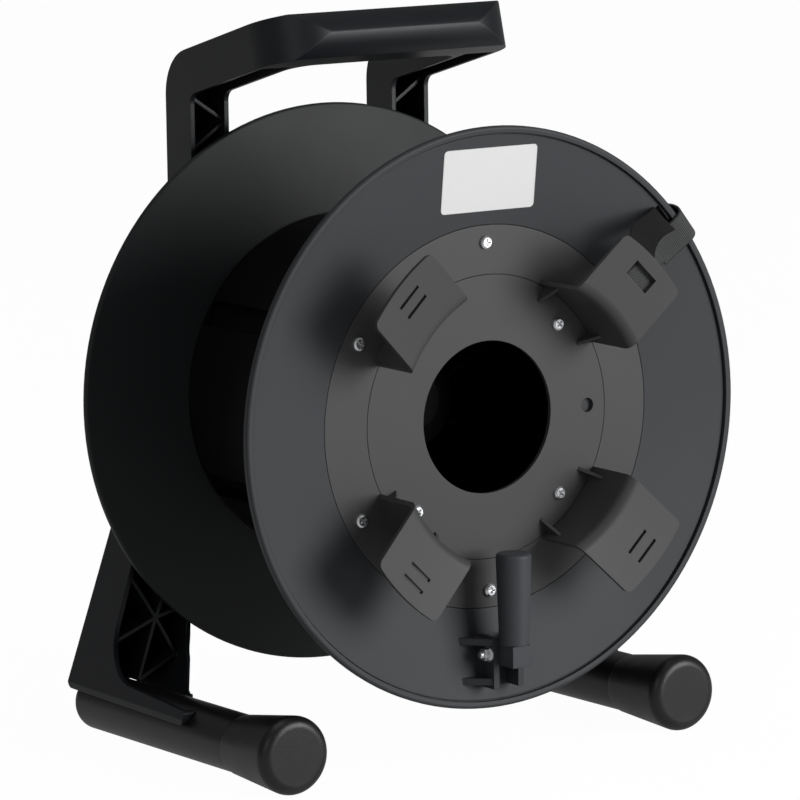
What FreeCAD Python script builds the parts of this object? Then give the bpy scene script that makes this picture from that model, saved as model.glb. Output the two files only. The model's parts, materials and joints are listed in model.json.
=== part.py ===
"""An empty cable reel: a moulded stand with a carrying handle, and a drum that turns on it.

Millimetres, +Z up. The origin is on the floor under the middle of the reel. The drum's axle lies
along Y, and the side with the crank and the cable hooks faces -Y.
"""
import FreeCAD
import Part
import Sketcher
import math
import os

Vector = FreeCAD.Vector
Rotation = FreeCAD.Rotation
Placement = FreeCAD.Placement

ACROSS = Vector(1, 0, 0)
ALONG = Vector(0, 1, 0)
UP = Vector(0, 0, 1)
ORIGIN = Vector(0, 0, 0)

doc = FreeCAD.newDocument("cable_reel")

# ---------------------------------------------------------------------------
# Driving dimensions
# ---------------------------------------------------------------------------
# Distances along Y are measured from the reel's middle: "reach" means towards -Y, the front,
# and "back" means towards +Y. An "inset" on the drum is measured inwards from the flanges' rim,
# and the stand leaves room for that rim over the floor and under the handle.
DIMENSIONS = {
    "floor_room": "39",
    # drum
    "flange_radius": "190",
    "flange_wall": "3",
    "flange_slope": "8",
    "bead_width": "4.5",
    "bead_height": "2.2",
    "groove": "0.9",
    "hub_reach": "100",
    "winding_back": "80",
    "core_radius": "116.5",
    "core_wall": "3",
    "notch_width": "18",
    "notch_depth": "7.4",
    "notch_post_radius": "4.2",
    "notch_post_length": "16",
    "web_wall": "2.6",
    "web_reach": "17",
    "web_lug_radius": "4",
    "web_lug_circle": "63",
    # axle
    "journal_radius": "20",
    "sleeve_radius": "31.2",
    "running_gap": "0.06",
    "washer_radius": "25",
    "washer_wall": "2",
    "collar_radius": "34",
    # hub plates and cable hooks
    "plate_wall": "3",
    "hub_opening": "50",
    "cover_edge": "93",
    "ring_edge": "125.3",
    "hook_width": "60",
    "hook_wall": "3",
    "hook_reach": "50",
    "lip_edge": "140.5",
    "lip_corner": "5",
    "bend_radius": "5",
    "slot_length": "19",
    "window_length": "20.8",
    "slot_width": "2.2",
    "slot_circle": "120",
    "slot_pitch": "9.4",
    "window_height": "11",
    "fin_wall": "2.2",
    "fin_height": "11",
    "finger_hole_radius": "4.75",
    # screws
    "ring_screw_circle": "114.1",
    "cover_screw_circle": "79.3",
    "screw_radius": "2",
    "screw_length": "14",
    "head_radius": "4.7",
    "head_height": "2.6",
    # crank
    "cheek_wall": "4.2",
    "cheek_reach": "121",
    "cheek_inset": "14.7",
    "cheek_length": "33.8",
    "gusset_length": "16",
    "gusset_wall": "4.4",
    "block_width": "14.4",
    "block_height": "14",
    "block_length": "28",
    "pivot_reach": "115.5",
    "pivot_inset": "37.5",
    "pivot_radius": "2.5",
    "grip_length": "60",
    "grip_top_radius": "11.7",
    "grip_low_radius": "9.8",
    "grip_offset": "12.2",
    "spindle_radius": "4",
    # stand
    "rail_width": "30",
    "rail_outer": "95.3",
    "rail_front": "107",
    "rail_depth": "31.5",
    "rail_wall": "3.4",
    "heel_back": "150",
    "arm_rise": "14.9",
    "arm_depth": "30.2",
    "handle_room": "41.9",
    "grip_bar_front": "3.5",
    "grip_bar_depth": "27",
    "grip_bar_bulge": "10.5",
    "corner_sweep": "40",
    "knee_height": "284",
    "inner_knee_height": "270",
    "ankle_height": "64",
    "ankle_inset": "48.5",
    "foot_inset": "32",
    "rib_wall": "2.4",
    "rib_pitch": "20.5",
    "carrier_radius": "72",
    "carrier_wall": "4",
    "carrier_depth": "22",
    # feet
    "foot_centre": "154",
    "tube_radius": "19.5",
    "tube_wall": "2",
    "tube_tilt": "1",
    "tube_back": "149.5",
    "heel_round": "8",
    "saddle_wall": "1.8",
    "seam_height": "30",
    "cap_radius": "26.5",
    "cap_back": "-45",
    "cap_reach": "106",
    "cap_wall": "2.4",
    # strap and label
    "strap_width": "20",
    "strap_thickness": "1.8",
    "strap_angle": "38.7",
    "strap_slot_length": "36",
    "slot_inset": "10.8",
    "label_width": "72.3",
    "label_height": "41.5",
    "label_inset": "34.6",
    "label_thickness": "0.3",
    # clearances
    "seat_gap": "0.3",
    "joint_gap": "0.4",
}

sheet = doc.addObject("Spreadsheet::Sheet", "Sizes")
for row, (alias, number) in enumerate(DIMENSIONS.items(), start=1):
    sheet.set(f"A{row}", alias)
    sheet.set(f"B{row}", number)
    sheet.setAlias(f"B{row}", alias)
doc.recompute()


class Size:
    """A dimension: its number, and the sheet expression that a feature is bound to."""

    def __init__(self, number, text):
        self.number = number
        self.text = text

    def __add__(self, other):
        other = size(other)
        return Size(self.number + other.number, f"({self.text} + {other.text})")

    def __sub__(self, other):
        other = size(other)
        return Size(self.number - other.number, f"({self.text} - {other.text})")

    def __mul__(self, other):
        other = size(other)
        return Size(self.number * other.number, f"({self.text} * {other.text})")

    def __truediv__(self, other):
        other = size(other)
        return Size(self.number / other.number, f"({self.text} / {other.text})")

    def __neg__(self):
        return Size(-self.number, f"(0 - {self.text})")


def size(given):
    """A sheet alias, a plain number or a Size, as a Size."""
    if isinstance(given, Size):
        return given
    if isinstance(given, str):
        return Size(float(getattr(sheet, given)), f"Sizes.{given}")
    return Size(float(given), f"{given:g}")


def tangent(angle):
    """The tangent of an angle in degrees."""
    angle = size(angle)
    return Size(math.tan(math.radians(angle.number)), f"tan({angle.text} * 1deg)")


def number(given):
    return size(given).number


# ---------------------------------------------------------------------------
# Small builders
# ---------------------------------------------------------------------------
def new_body(label):
    body = doc.addObject("PartDesign::Body", label)
    body.Label = label
    return body


def lift_to_axle(part):
    """Drum pieces are drawn about the axle and then raised to its height."""
    part.setExpression("Placement.Base.z", axle_height.text)


def origin_feature(body, role):
    return next(item for item in body.Origin.OriginFeatures if item.Role == role)


def sketch_on(body, role, reach=None):
    """A sketch on one of the body's own planes, moved out along the plane's normal."""
    sketch = body.newObject("Sketcher::SketchObject", f"{body.Label}_{role[:2]}")
    sketch.AttachmentSupport = (origin_feature(body, role), [""])
    sketch.MapMode = "FlatFace"
    if reach is not None:
        sketch.setExpression("AttachmentOffset.Base.z", size(reach).text)
    return sketch


def tie_point(sketch, geometry, point, across, along):
    """Holds one point of the sketch at a distance from the sketch's origin."""
    for kind, distance in (("DistanceX", size(across)), ("DistanceY", size(along))):
        index = sketch.addConstraint(
            Sketcher.Constraint(kind, -1, 1, geometry, point, distance.number)
        )
        sketch.setExpression(f"Constraints[{index}]", distance.text)


def draw_outline(sketch, corners):
    """A closed outline of straight lines whose corners are tied to the sheet."""
    places = [Vector(number(across), number(along), 0) for across, along in corners]
    first = sketch.GeometryCount
    for index, place in enumerate(places):
        following = places[(index + 1) % len(places)]
        sketch.addGeometry(Part.LineSegment(place, following), False)
    for index, (across, along) in enumerate(corners):
        following = (index + 1) % len(corners)
        sketch.addConstraint(
            Sketcher.Constraint("Coincident", first + index, 2, first + following, 1)
        )
        tie_point(sketch, first + index, 1, across, along)


def draw_circle(sketch, across, along, radius):
    centre = Vector(number(across), number(along), 0)
    circle = sketch.addGeometry(Part.Circle(centre, UP, number(radius)), False)
    tie_point(sketch, circle, 3, across, along)
    index = sketch.addConstraint(Sketcher.Constraint("Radius", circle, number(radius)))
    sketch.setExpression(f"Constraints[{index}]", size(radius).text)


def turned(body, corners):
    """Turns an outline of (radius, place along the axle) corners round the body's Y axis."""
    sketch = sketch_on(body, "XY_Plane")
    draw_outline(sketch, corners)
    feature = body.newObject("PartDesign::Revolution", f"{body.Label}_turned")
    feature.Profile = sketch
    feature.ReferenceAxis = (sketch, ["V_Axis"])
    feature.Angle = 360
    doc.recompute()
    return feature


def extrude(body, kind, sketch, length, reverse=False):
    """A Pad or a Pocket of a given length."""
    feature = body.newObject(f"PartDesign::{kind}", f"{body.Label}_{kind.lower()}")
    feature.Profile = sketch
    feature.setExpression("Length", size(length).text)
    feature.Reversed = reverse
    doc.recompute()
    return feature


def cut_through(body, sketch, length):
    """A pocket that runs both ways from its sketch, and must take material away."""
    before = body.Shape.Volume
    pocket = extrude(body, "Pocket", sketch, length)
    pocket.Midplane = True
    doc.recompute()
    if body.Shape.Volume > before - 0.5:
        raise RuntimeError(f"{sketch.Label} cuts nothing")
    return pocket


def round_the_axle(body, features, count):
    """Repeats features evenly round the axle."""
    pattern = body.newObject("PartDesign::PolarPattern", f"{body.Label}_pattern")
    pattern.Originals = features
    pattern.Axis = (origin_feature(body, "Y_Axis"), [""])
    pattern.Angle = 360
    pattern.Occurrences = count
    body.Tip = pattern
    doc.recompute()
    return pattern


def soften(body, radius, wanted):
    """Rounds the edges of the body's tip for which wanted(edge) is true."""
    base = body.Tip
    names = [
        f"Edge{index}"
        for index, edge in enumerate(base.Shape.Edges, start=1)
        if wanted(edge)
    ]
    if not names:
        raise RuntimeError(f"{body.Label} has no such edge to round")
    fillet = body.newObject("PartDesign::Fillet", f"{body.Label}_softened")
    fillet.Base = (base, names)
    fillet.setExpression("Radius", size(radius).text)
    doc.recompute()
    return fillet


def ring_edge_at(radius, place, reach=0.05):
    """Picks the full-circle edge of a radius at a place along the axle."""

    def wanted(edge):
        curve = edge.Curve
        if not isinstance(curve, Part.Circle):
            return False
        near = abs(curve.Radius - number(radius)) < reach
        return near and abs(curve.Center.y - number(place)) < reach

    return wanted


def plain_part(label, shape):
    """A sub-part whose shape is worked out with Part's own functions from the sheet's values."""
    part = doc.addObject("Part::Feature", label)
    part.Label = label
    part.Shape = shape
    return part


def rounded_wire(corners):
    """A closed wire through (point, radius) corners, with a tangent arc at each radius."""
    arcs = []
    for index, (corner, radius) in enumerate(corners):
        before = corners[index - 1][0] - corner
        after = corners[(index + 1) % len(corners)][0] - corner
        if radius <= 0:
            arcs.append((corner, None, corner))
            continue
        before.normalize()
        after.normalize()
        half = before.getAngle(after) / 2
        setback = radius / math.tan(half)
        middle = before + after
        middle.normalize()
        bulge = corner + middle * (radius / math.sin(half) - radius)
        arcs.append((corner + before * setback, bulge, corner + after * setback))
    edges = []
    for index, (start, bulge, end) in enumerate(arcs):
        if bulge is not None:
            edges.append(Part.Arc(start, bulge, end).toShape())
        following = arcs[(index + 1) % len(arcs)][0]
        if end.distanceToPoint(following) > 1e-6:
            edges.append(Part.LineSegment(end, following).toShape())
    return Part.Wire(edges)


def slab(corners, direction):
    """The solid swept by a rounded outline along a direction."""
    return Part.Face(rounded_wire(corners)).extrude(direction)


def box_between(low, high):
    return Part.makeBox(high.x - low.x, high.y - low.y, high.z - low.z, low)


# ---------------------------------------------------------------------------
# Values shared by several pieces
# ---------------------------------------------------------------------------
axle_height = size("flange_radius") + "floor_room"
arm_top = size("flange_radius") + "handle_room"
cheek_bottom = size("flange_radius") - "cheek_inset"
cheek_top = cheek_bottom - "cheek_length"
pivot_drop = size("flange_radius") - "pivot_inset"
slot_reach = size("flange_radius") - "slot_inset"
label_centre = size("flange_radius") - "label_inset"
slope = tangent("flange_slope")
hub_face = -size("hub_reach")
seat_face = hub_face + "plate_wall"
seat_back = seat_face + "flange_wall"
rim_run = (size("flange_radius") - "ring_edge") * slope
rim_face = hub_face - rim_run
winding_back = size("winding_back")
rear_face = winding_back + "flange_wall"
rear_run = (size("flange_radius") - "core_radius") * slope
bead_start = size("flange_radius") - "bead_width"
core_front = seat_back
bore_radius = size("journal_radius") + "running_gap"
pocket_radius = size("washer_radius") + 1.5
sleeve_front = -size("web_reach") + 4
washer_seat = sleeve_front + 13


def flange_front(radius):
    """Where the front flange's face lies along the axle at a radius."""
    return hub_face - (size(radius) - "ring_edge") * slope


# ---------------------------------------------------------------------------
# Drum
# ---------------------------------------------------------------------------
def make_rear_flange():
    """A dished disc with a raised rim, fixed to the back of the core."""
    body = new_body("rear_flange")
    inner = size("core_radius") + "joint_gap"
    turned(body, [
        (inner, winding_back),
        (size("flange_radius"), winding_back + rear_run),
        (size("flange_radius"), rear_face + rear_run + "bead_height"),
        (bead_start, rear_face + rear_run + "bead_height" - size("bead_width") * slope),
        (bead_start, rear_face + rear_run - size("bead_width") * slope),
        (inner, rear_face),
    ])
    rim = size("flange_radius")
    soften(body, 1.4, ring_edge_at(rim, winding_back + rear_run))
    soften(body, 1.8, ring_edge_at(rim, rear_face + rear_run + "bead_height"))
    lift_to_axle(body)
    return body


def make_front_flange():
    """A dished disc with a raised rim, a stepped seat for the hub plates and the crank's cheeks."""
    body = new_body("front_flange")
    rim = size("flange_radius")
    seat = size("ring_edge") + "joint_gap"
    opening = size("hub_opening") + 10
    bead_face = rim_face - "bead_height"
    bead_drop = size("bead_width") * slope
    turned(body, [
        (opening, seat_face),
        (seat, seat_face),
        (seat, hub_face),
        (bead_start - "groove", flange_front(bead_start - "groove")),
        (bead_start - "groove", rim_face + bead_drop + "groove"),
        (bead_start, rim_face + bead_drop + "groove"),
        (bead_start, bead_face + bead_drop),
        (rim, bead_face),
        (rim, rim_face + "flange_wall"),
        (seat + 3, hub_face + "flange_wall" - slope * 3),
        (seat, seat_back),
        (opening, seat_back),
    ])
    soften(body, 1.8, ring_edge_at(rim, bead_face))
    soften(body, 1.2, ring_edge_at(rim, rim_face + "flange_wall"))

    # Posts behind the seat that the ring's screws bite into. They stand in the core's notches.
    posts = sketch_on(body, "XZ_Plane", -seat_back)
    draw_circle(posts, 0, "ring_screw_circle", "notch_post_radius")
    post = extrude(body, "Pad", posts, "notch_post_length", reverse=True)
    bores = sketch_on(body, "XZ_Plane", -seat_face)
    draw_circle(bores, 0, "ring_screw_circle", size("screw_radius") + "running_gap")
    bore = cut_through(body, bores, size("screw_length") * 2)
    round_the_axle(body, [post, bore], 6)

    covers = sketch_on(body, "XZ_Plane", -seat_face)
    place = size("cover_screw_circle") * math.sqrt(0.5)
    draw_circle(covers, place, place, size("screw_radius") + "running_gap")
    cover_bore = cut_through(body, covers, size("flange_wall") * 4)
    round_the_axle(body, [cover_bore], 4)

    # The crank's two cheeks, with gussets outside the left one.
    middle = size("block_width") / 2 + "seat_gap"
    outside = middle + "cheek_wall"
    for side in (-1, 1):
        cheek = sketch_on(body, "YZ_Plane", middle if side > 0 else -outside)
        draw_outline(cheek, [
            (flange_front(cheek_top) + 1.5, -cheek_top),
            (flange_front(cheek_bottom) + 1.5, -cheek_bottom),
            (-size("cheek_reach"), -cheek_bottom),
            (-size("cheek_reach"), -cheek_top),
        ])
        extrude(body, "Pad", cheek, "cheek_wall")
    foot = -outside - "gusset_length"
    inside = -outside + size("cheek_wall") / 2
    for low in (cheek_bottom - 2.5, cheek_top + "gusset_wall" + 0.8):
        root = flange_front(low) + 1.8
        gusset = sketch_on(body, "XY_Plane", -low)
        draw_outline(gusset, [
            (inside, root), (foot, root), (foot, root - 1),
            (-outside, -size("cheek_reach") + 1.5), (inside, -size("cheek_reach") + 1.5),
        ])
        extrude(body, "Pad", gusset, "gusset_wall")
    pivot = sketch_on(body, "YZ_Plane")
    draw_circle(pivot, -size("pivot_reach"), -pivot_drop, size("pivot_radius") + "running_gap")
    cut_through(body, pivot, outside * 3)

    # The strap's slot, just inside the rim bead.
    slot = sketch_on(body, "XZ_Plane")
    angle = math.radians(number("strap_angle"))
    half = number("strap_slot_length") / 2
    reach = number(slot_reach)
    outer = number(bead_start) - 2
    corners = []
    for radial, sideways in ((reach, -half), (outer, -half), (outer, half), (reach, half)):
        corners.append((
            radial * math.cos(angle) - sideways * math.sin(angle),
            radial * math.sin(angle) + sideways * math.cos(angle),
        ))
    draw_outline(slot, corners)
    cut_through(body, slot, 400)
    lift_to_axle(body)
    return body


def make_core():
    """The drum's barrel: six pads with notches between, webs, a back wall and the axle sleeve."""
    body = new_body("drum_core")
    inner = size("core_radius") - "core_wall"
    turned(body, [
        (bore_radius, rear_face),
        (bore_radius, washer_seat),
        (pocket_radius, washer_seat),
        (pocket_radius, sleeve_front),
        (size("sleeve_radius"), sleeve_front),
        (size("sleeve_radius"), winding_back),
        (inner, winding_back),
        (inner, core_front + 3),
        (size("hub_opening") + 14, core_front + 3),
        (size("hub_opening") + 14, core_front),
        (size("core_radius"), core_front),
        (size("core_radius"), rear_face),
    ])

    # A web from the sleeve to the barrel, and a folded-in notch in the barrel outside it.
    half_web = size("web_wall") / 2
    web = sketch_on(body, "XZ_Plane", "web_reach")
    draw_outline(web, [
        (-half_web, size("sleeve_radius") - 0.8), (half_web, size("sleeve_radius") - 0.8),
        (half_web, inner + 1), (-half_web, inner + 1),
    ])
    web_pad = extrude(body, "Pad", web, size("web_reach") + winding_back + 1, reverse=True)
    root = size("core_radius") - "notch_depth"
    half_notch = size("notch_width") / 2
    backing = sketch_on(body, "XZ_Plane", -core_front)
    draw_outline(backing, [
        (-half_notch - "core_wall", root - "core_wall"), (half_notch + "core_wall", root - "core_wall"),
        (half_notch + "core_wall", inner + 1), (-half_notch - "core_wall", inner + 1),
    ])
    length = rear_face - core_front
    backing_pad = extrude(body, "Pad", backing, length, reverse=True)
    notch = sketch_on(body, "XZ_Plane", -core_front)
    draw_outline(notch, [
        (-half_notch, root), (half_notch, root),
        (half_notch, size("core_radius") + 4), (-half_notch, size("core_radius") + 4),
    ])
    notch_cut = extrude(body, "Pocket", notch, winding_back - core_front)
    round_the_axle(body, [web_pad, backing_pad, notch_cut], 6)

    # Lugs on the webs, hollow for a screw.
    lug = sketch_on(body, "XZ_Plane", "web_reach")
    draw_circle(lug, 0, "web_lug_circle", "web_lug_radius")
    lug_pad = extrude(body, "Pad", lug, size("web_reach") + winding_back + 1, reverse=True)
    hollow = sketch_on(body, "XZ_Plane", "web_reach")
    draw_circle(hollow, 0, "web_lug_circle", 1.6)
    hollow_cut = extrude(body, "Pocket", hollow, 20)
    round_the_axle(body, [lug_pad, hollow_cut], 6)

    # Posts under the cover's screws, off the front wall.
    place = size("cover_screw_circle") * math.sqrt(0.5)
    post = sketch_on(body, "XZ_Plane", -(core_front + 1))
    draw_circle(post, place, place, "notch_post_radius")
    post_pad = extrude(body, "Pad", post, "notch_post_length", reverse=True)
    bore = sketch_on(body, "XZ_Plane", -core_front)
    draw_circle(bore, place, place, size("screw_radius") + "running_gap")
    bore_cut = cut_through(body, bore, size("screw_length") * 2)
    round_the_axle(body, [post_pad, bore_cut], 4)
    lift_to_axle(body)
    return body


def make_axle_cap():
    """The domed plug that closes the front of the axle sleeve."""
    body = new_body("axle_cap")
    plug = pocket_radius - "seat_gap"
    dome = size("sleeve_radius") - 1.5
    turned(body, [
        (0, sleeve_front + 4),
        (plug, sleeve_front + 4),
        (plug, sleeve_front),
        (dome, sleeve_front),
        (dome, sleeve_front - 2),
        (dome * 0.6, sleeve_front - 4.4),
        (0, sleeve_front - 5.6),
    ])
    soften(body, 1.2, ring_edge_at(dome, sleeve_front - 2))
    lift_to_axle(body)
    return body


def make_hook_ring():
    """A flat ring with four cable hooks: a curved wall standing on it, and a lip bent outwards."""
    inner = size("cover_edge") + "joint_gap"
    ring_sketch = doc.addObject("Sketcher::SketchObject", "hook_ring_plate")
    draw_outline(ring_sketch, [
        (inner, hub_face), (size("ring_edge"), hub_face),
        (size("ring_edge"), seat_face), (inner, seat_face),
    ])
    plate = doc.addObject("Part::Revolution", "hook_ring_disc")
    plate.Source = ring_sketch
    plate.Axis = ALONG
    plate.Angle = 360
    plate.Solid = True

    lip_run = (size("lip_edge") - inner - "hook_wall") * slope
    wall = size("hook_wall")
    bend = number("bend_radius")
    front = hub_face - "hook_reach"
    corner = front + lip_run + wall * slope
    profile = [
        (inner, hub_face + 1),
        (inner, corner),
        (size("lip_edge"), front),
        (size("lip_edge"), front + wall),
        (inner + wall, front + lip_run + wall),
        (inner + wall, hub_face + 1),
    ]
    half = size("hook_width") / 2
    hooks = []
    for index, angle in enumerate((45, 135, 225, 315), start=1):
        sketch = doc.addObject("Sketcher::SketchObject", f"hook_{index}_profile")
        draw_outline(sketch, profile)
        sweep = doc.addObject("Part::Revolution", f"hook_{index}_sweep")
        sweep.Source = sketch
        sweep.Axis = ALONG
        sweep.Angle = 50
        sweep.Symmetric = True
        sweep.Solid = True
        strip = doc.addObject("Part::Box", f"hook_{index}_strip")
        strip.setExpression("Length", "Sizes.lip_edge * 2")
        strip.setExpression("Width", "Sizes.hub_reach * 2")
        strip.setExpression("Height", "Sizes.hook_width")
        strip.setExpression("Placement.Base.y", "0 - Sizes.hub_reach * 2")
        strip.setExpression("Placement.Base.z", "0 - Sizes.hook_width / 2")
        blank = doc.addObject("Part::Common", f"hook_{index}_blank")
        blank.Base = sweep
        blank.Tool = strip
        doc.recompute()
        corners = doc.addObject("Part::Fillet", f"hook_{index}_corners")
        corners.Base = blank
        picked = []
        for place, edge in enumerate(blank.Shape.Edges, start=1):
            middle = edge.CenterOfMass
            at_side = abs(abs(middle.z) - half.number) < 0.05
            at_tip = middle.x > number("lip_edge") * 0.96
            if at_side and at_tip and abs(edge.Length - wall.number) < 0.5:
                picked.append((place, number("lip_corner"), number("lip_corner")))
            if not isinstance(edge.Curve, Part.Circle) or middle.y > number(corner) + 2 * wall.number:
                continue
            if abs(edge.Curve.Radius - number(inner)) < 0.01:
                picked.append((place, bend + wall.number, bend + wall.number))
            if abs(edge.Curve.Radius - number(inner + wall)) < 0.01:
                picked.append((place, bend, bend))
        corners.Edges = picked
        doc.recompute()
        cutters = []
        length = size("slot_length")
        places = [
            (size("slot_circle"), size("slot_width")),
            (size("slot_circle") + "slot_pitch", size("slot_width")),
        ]
        if index == 1:
            length = size("window_length")
            places = [(size("slot_circle") + size("slot_pitch") / 2 + 1, size("window_height"))]
        for place, height in places:
            cutter = doc.addObject("Part::Box", f"hook_{index}_slot")
            cutter.setExpression("Length", height.text)
            cutter.setExpression("Width", "Sizes.hook_reach / 2")
            cutter.setExpression("Height", length.text)
            cutter.setExpression("Placement.Base.x", (place - height / 2).text)
            cutter.setExpression("Placement.Base.y", (front - 1).text)
            cutter.setExpression("Placement.Base.z", (-length / 2).text)
            cutters.append(cutter)
        hooked = doc.addObject("Part::Cut", f"hook_{index}_slotted")
        hooked.Base = corners
        if len(cutters) == 1:
            hooked.Tool = cutters[0]
        else:
            pair = doc.addObject("Part::MultiFuse", f"hook_{index}_slot_pair")
            pair.Shapes = cutters
            hooked.Tool = pair
        pieces = [hooked]
        for fin_index, turn in enumerate((-15, 15), start=1):
            fin_sketch = doc.addObject("Sketcher::SketchObject", f"hook_{index}_fin_{fin_index}_outline")
            draw_outline(fin_sketch, [
                (inner - "fin_height", hub_face - "seat_gap"),
                (inner + 1, hub_face - "seat_gap"),
                (inner + 1, hub_face - size("fin_height") * 1.3),
                (inner, hub_face - size("fin_height") * 1.3),
            ])
            fin = doc.addObject("Part::Extrusion", f"hook_{index}_fin_{fin_index}")
            fin.Base = fin_sketch
            fin.DirMode = "Normal"
            fin.Solid = True
            fin.Symmetric = True
            fin.setExpression("LengthFwd", "Sizes.fin_wall")
            fin.Placement = Placement(ORIGIN, Rotation(ALONG, -turn))
            pieces.append(fin)
        hook = doc.addObject("Part::MultiFuse", f"hook_{index}")
        hook.Shapes = pieces
        hook.Placement = Placement(ORIGIN, Rotation(ALONG, -angle))
        hooks.append(hook)
    whole = doc.addObject("Part::MultiFuse", "hook_ring_blank")
    whole.Shapes = [plate] + hooks
    bores = []
    for index in range(6):
        bore = doc.addObject("Part::Cylinder", f"ring_bore_{index + 1}")
        bore.setExpression("Radius", "Sizes.screw_radius + Sizes.running_gap")
        bore.setExpression("Height", "Sizes.plate_wall * 4")
        angle = math.radians(30 + 60 * index)
        circle = number("ring_screw_circle")
        centre = Vector(circle * math.cos(angle), number(hub_face) - 4, circle * math.sin(angle))
        bore.Placement = Placement(centre, Rotation(ACROSS, -90))
        bores.append(bore)
    bore_set = doc.addObject("Part::MultiFuse", "ring_bores")
    bore_set.Shapes = bores
    ring = doc.addObject("Part::Cut", "hook_ring")
    ring.Base = whole
    ring.Tool = bore_set
    ring.Label = "hook_ring"
    lift_to_axle(ring)
    return ring


def make_hub_cover():
    """The flat disc inside the hook ring, round the hub's opening."""
    body = new_body("hub_cover")
    turned(body, [
        (size("hub_opening"), hub_face), (size("cover_edge"), hub_face),
        (size("cover_edge"), seat_face), (size("hub_opening"), seat_face),
    ])
    place = size("cover_screw_circle") * math.sqrt(0.5)
    bores = sketch_on(body, "XZ_Plane", -hub_face)
    draw_circle(bores, place, place, size("screw_radius") + "running_gap")
    bore = cut_through(body, bores, size("plate_wall") * 4)
    round_the_axle(body, [bore], 4)
    finger = sketch_on(body, "XZ_Plane", -hub_face)
    draw_circle(finger, "cover_screw_circle", 0, "finger_hole_radius")
    cut_through(body, finger, size("plate_wall") * 4)
    lift_to_axle(body)
    return body


def make_screw(label, circle, angle):
    """A pan head screw with a cross recess, its head on the hub's front face."""
    body = new_body(label)
    turned(body, [
        (0, size("head_height")),
        (size("head_radius") - 1.6, size("head_height")),
        (size("head_radius") - 0.4, size("head_height") - 0.9),
        (size("head_radius"), 0),
        (size("screw_radius"), 0),
        (size("screw_radius"), -size("screw_length")),
        (0, -size("screw_length")),
    ])
    arm = size("head_radius") * 0.52
    recess = sketch_on(body, "XZ_Plane", -size("head_height"))
    draw_outline(recess, [
        (-arm, -0.5), (-0.5, -0.5), (-0.5, -arm), (0.5, -arm), (0.5, -0.5), (arm, -0.5),
        (arm, 0.5), (0.5, 0.5), (0.5, arm), (-0.5, arm), (-0.5, 0.5), (-arm, 0.5),
    ])
    before = body.Shape.Volume
    extrude(body, "Pocket", recess, size("head_height") * 0.7, reverse=True)
    if body.Shape.Volume > before - 0.5:
        raise RuntimeError(f"{label} has no recess")
    turn = Rotation(ALONG, -angle) * Rotation(UP, 180)
    place = Vector(
        number(circle) * math.cos(math.radians(angle)),
        number(hub_face),
        number(circle) * math.sin(math.radians(angle)) + number(axle_height),
    )
    body.Placement = Placement(place, turn)
    return body


def make_label():
    """A thin sticker that follows the front flange's dished face above the hub."""
    gap = number("running_gap")
    thickness = number("label_thickness")
    low = number(label_centre) - number("label_height") / 2
    high = number(label_centre) + number("label_height") / 2
    half = number("label_width") / 2
    inside = number("ring_edge") + 1
    outside = number(bead_start) - 0.2
    shell = []
    for radius, away in ((inside, gap), (outside, gap), (outside, gap + thickness), (inside, gap + thickness)):
        shell.append(Vector(radius, number(flange_front(radius)) - away, 0))
    shell.append(shell[0])
    ring = Part.Face(Part.makePolygon(shell)).revolve(ORIGIN, ALONG, 360)
    corners = [Vector(-half, 0, low), Vector(half, 0, low), Vector(half, 0, high), Vector(-half, 0, high)]
    stamp = slab([(corner, 3) for corner in corners], Vector(0, -2 * number("hub_reach"), 0))
    part = plain_part("label_panel", ring.common(stamp).Solids[0])
    part.Placement = Placement(Vector(0, 0, number(axle_height)), Rotation())
    return part


def make_strap():
    """A hook-and-loop strap: behind a hook's lip, out through the flange's slot, round the rim and
    back over itself. Its path is drawn in the half plane through the axle at the strap's angle."""
    rim = number("flange_radius")
    rim_front = number(rim_face) - number("bead_height")
    lip_back = number(hub_face) - number("hook_reach") + number("hook_wall")
    slot_middle = (number(slot_reach) + number(bead_start) - 2) / 2
    thickness = number("strap_thickness")
    behind = lip_back + 8
    path = [
        (number("slot_circle") - 6, behind - 0.6),
        (number("lip_edge") - 3, behind + 0.6),
        (number("lip_edge") + 22, rim_front - 12.5),
        (slot_middle - 0.6, rim_front - 4.2),
        (slot_middle, rim_front + 8),
        (slot_middle + 3.4, number(rim_face) + number("flange_wall") + 2.4),
        (rim + 2, number(rim_face) + number("flange_wall") + 1.6),
        (rim + 2.4, rim_front - 2.4),
        (rim - 3, rim_front - 5.4),
        (rim - 27, rim_front - 17),
    ]
    half = number("strap_width") / 2
    centre = [Vector(radial, along, -half) for radial, along in path]
    left = []
    right = []
    for index, point in enumerate(centre):
        before = centre[max(index - 1, 0)]
        after = centre[min(index + 1, len(centre) - 1)]
        into = point - before if index else after - point
        out = after - point if index < len(centre) - 1 else into
        into.normalize()
        out.normalize()
        normal = Vector(-(into.y + out.y), into.x + out.x, 0)
        normal.normalize()
        spread = thickness / 2 / max(normal.dot(Vector(-into.y, into.x, 0)), 0.5)
        left.append(point + normal * spread)
        right.append(point - normal * spread)
    outline = Part.makePolygon(left + right[::-1] + [left[0]])
    ribbon = Part.Face(outline).extrude(UP * number("strap_width"))
    part = plain_part("strap", ribbon)
    part.Placement = Placement(
        Vector(0, 0, number(axle_height)), Rotation(ALONG, -number("strap_angle"))
    )
    return part


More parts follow.
